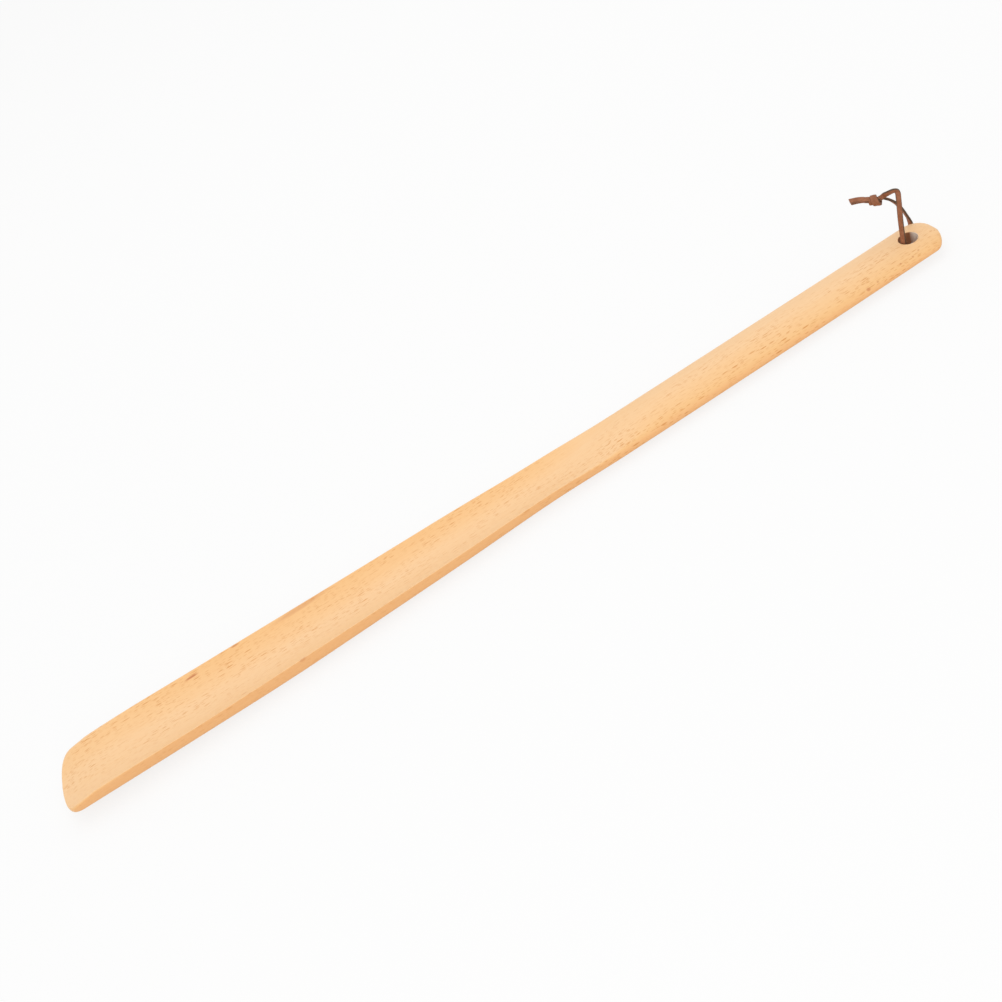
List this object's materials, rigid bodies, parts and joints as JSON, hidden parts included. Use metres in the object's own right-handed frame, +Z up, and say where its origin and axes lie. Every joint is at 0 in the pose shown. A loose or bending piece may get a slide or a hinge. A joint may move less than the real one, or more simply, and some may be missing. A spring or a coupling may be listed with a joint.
{
  "type": "shoe horn",
  "caption": "Long wooden shoe horn with a hollow blade, a full rounded handle and a knotted leather hanging thong through a hole near its end.",
  "frame": {"origin": "on the resting plane, under the middle of the wooden body's bounding box", "axes": "+X along the horn from the tip of the blade to the handle's end, +Z up out of the scoop, +Y across"},
  "size_m": [0.55, 0.0427, 0.0419],
  "materials": {
    "beech": "oiled, satin",
    "leather": "brown, dull"
  },
  "bodies": {
    "horn": {"horn_body": "beech"},
    "thong": {"thong_loop": "leather", "thong_knot": "leather", "thong_tail_upper": "leather", "thong_tail_lower": "leather"}
  },
  "joints": [
    {"name": "thong_turn", "type": "hinge", "parent": "horn", "child": "thong", "pos_m": [0.2584, 0, 0.007], "axis": [0, 0, 1], "range_deg": [-155, 60]}
  ]
}
